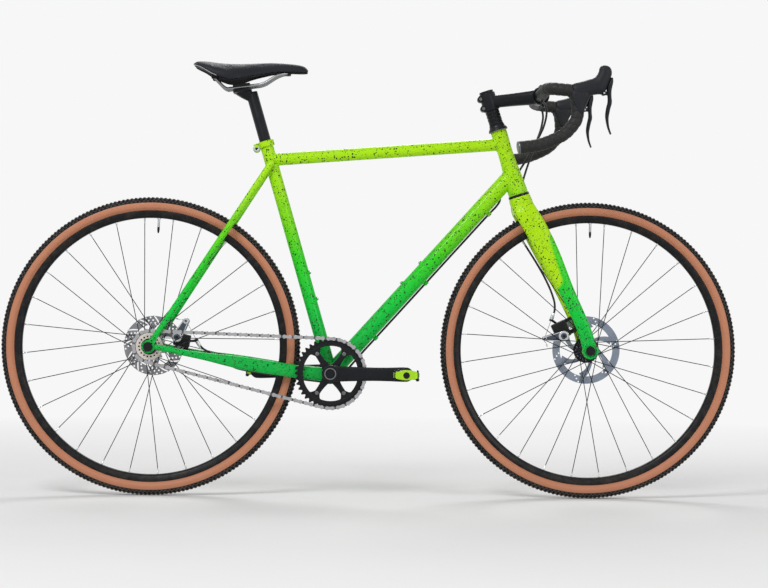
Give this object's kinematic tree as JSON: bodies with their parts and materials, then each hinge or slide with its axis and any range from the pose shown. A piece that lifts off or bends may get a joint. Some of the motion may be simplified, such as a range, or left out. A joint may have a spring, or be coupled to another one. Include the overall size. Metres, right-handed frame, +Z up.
{
  "type": "cyclocross bike",
  "caption": "Cyclocross bike with drop bar, knobbly tyres, cable disc brakes and a single-speed chain drive.",
  "frame": {"origin": "on the ground under the middle of the bike, midway between the two axles", "axes": "+X towards the front wheel, +Z up, the drive side is -Y"},
  "size_m": [1.719, 0.47, 1.012],
  "materials": {
    "lime_paint": "gloss",
    "green_paint": "gloss",
    "pedal_green": "satin",
    "black_alloy": "satin",
    "black_steel": "satin",
    "steel": "brushed",
    "chain_steel": "satin",
    "tyre_rubber": "matte",
    "hood_rubber": "matte",
    "bar_tape": "matte",
    "saddle_cover": "satin",
    "black_plastic": "satin",
    "cable_housing": "satin"
  },
  "bodies": {
    "frame": {"head_tube": "lime_paint", "top_tube": "lime_paint", "down_tube": "lime_paint", "seat_tube": "lime_paint", "bottom_bracket_shell": "green_paint", "chainstay_right": "green_paint", "chainstay_left": "green_paint", "seatstay_right": "green_paint", "seatstay_left": "green_paint", "dropout_right": "green_paint", "dropout_left": "green_paint", "seat_collar": "black_alloy", "headset_lower": "black_alloy", "bearing_cup_right": "black_alloy", "bearing_cup_left": "black_alloy", "rear_axle": "black_steel", "rear_caliper": "black_alloy", "chain": "chain_steel", "rear_brake_cable": "cable_housing"},
    "steering": {"fork": "green_paint", "steerer": "black_alloy", "headset_cover": "black_alloy", "stem_spacers": "black_alloy", "top_cap": "black_alloy", "stem": "black_alloy", "stem_faceplate": "black_alloy", "handlebar": "black_alloy", "bar_tape_right": "bar_tape", "bar_tape_left": "bar_tape", "hood_right": "hood_rubber", "hood_left": "hood_rubber", "front_axle": "black_steel", "front_caliper": "black_alloy", "front_cable_upper": "cable_housing", "front_cable_lower": "cable_housing"},
    "front_wheel": {"front_tyre": "tyre_rubber", "front_rim": "black_alloy", "front_hub": "black_alloy", "front_rotor": "steel", "front_valve": "steel"},
    "rear_wheel": {"rear_tyre": "tyre_rubber", "rear_rim": "black_alloy", "rear_hub": "black_alloy", "rear_rotor": "steel", "rear_valve": "steel"},
    "crank": {"crank_right": "black_alloy", "crank_left": "black_alloy", "chainring": "black_alloy"},
    "cog": {"cog": "steel"},
    "pedal_right": {"pedal_right": "pedal_green"},
    "pedal_left": {"pedal_left": "pedal_green"},
    "lever_right": {"lever_right": "black_alloy"},
    "lever_left": {"lever_left": "black_alloy"},
    "front_arm": {"front_brake_arm": "steel"},
    "rear_arm": {"rear_brake_arm": "steel"},
    "seat": {"seatpost": "black_alloy", "saddle_clamp": "black_alloy", "saddle_rails": "steel", "saddle_shell": "black_plastic", "saddle_pad": "saddle_cover"}
  },
  "joints": [
    {"name": "steer", "type": "hinge", "parent": "frame", "child": "steering", "pos_m": [0.34413, 0, 0.71298], "axis": [-0.3123, 0, 0.95], "range_deg": [-70, 70], "deforming": ["rear_brake_cable"]},
    {"name": "front_wheel_spin", "type": "hinge", "parent": "steering", "child": "front_wheel", "pos_m": [0.5115, 0, 0.348], "axis": [0, 1, 0], "continuous": true},
    {"name": "rear_wheel_spin", "type": "hinge", "parent": "frame", "child": "rear_wheel", "pos_m": [-0.5115, 0, 0.348], "axis": [0, 1, 0], "continuous": true},
    {"name": "crank_spin", "type": "hinge", "parent": "frame", "child": "crank", "pos_m": [-0.09196, 0, 0.2895], "axis": [0, 1, 0], "continuous": true},
    {"name": "cog_spin", "type": "hinge", "parent": "frame", "child": "cog", "pos_m": [-0.5115, 0, 0.348], "axis": [0, 1, 0], "continuous": true},
    {"name": "pedal_right_spin", "type": "hinge", "parent": "crank", "child": "pedal_right", "pos_m": [0.08304, -0.1085, 0.2895], "axis": [0, 1, 0], "continuous": true},
    {"name": "pedal_left_spin", "type": "hinge", "parent": "crank", "child": "pedal_left", "pos_m": [-0.26696, 0.1085, 0.2895], "axis": [0, 1, 0], "continuous": true},
    {"name": "lever_right_pull", "type": "hinge", "parent": "steering", "child": "lever_right", "pos_m": [0.51901, -0.2065, 0.93263], "axis": [0, 1, 0], "range_deg": [0, 20], "stiffness_Nm_per_rad": 1, "springref_deg": -11.46},
    {"name": "lever_left_pull", "type": "hinge", "parent": "steering", "child": "lever_left", "pos_m": [0.51901, 0.2065, 0.93263], "axis": [0, 1, 0], "range_deg": [0, 20], "stiffness_Nm_per_rad": 1, "springref_deg": -11.46},
    {"name": "front_arm_turn", "type": "hinge", "parent": "steering", "child": "front_arm", "pos_m": [0.4575, 0.0395, 0.3805], "axis": [0, 1, 0], "range_deg": [0, 24], "deforming": ["front_cable_lower"]},
    {"name": "rear_arm_turn", "type": "hinge", "parent": "frame", "child": "rear_arm", "pos_m": [-0.4563, 0.0555, 0.3685], "axis": [0, 1, 0], "range_deg": [0, 24], "deforming": ["rear_brake_cable"]},
    {"name": "seatpost_slide", "type": "slide", "parent": "frame", "child": "seat", "axis": [-0.2823, 0, 0.9593], "range_m": [-0.08, 0.06]}
  ],
  "couplings": [
    {"joint": "cog_spin", "follows": "crank_spin", "ratio": 2.2222},
    {"joint": "front_arm_turn", "follows": "lever_left_pull", "ratio": 1.2},
    {"joint": "rear_arm_turn", "follows": "lever_right_pull", "ratio": 1.2}
  ]
}
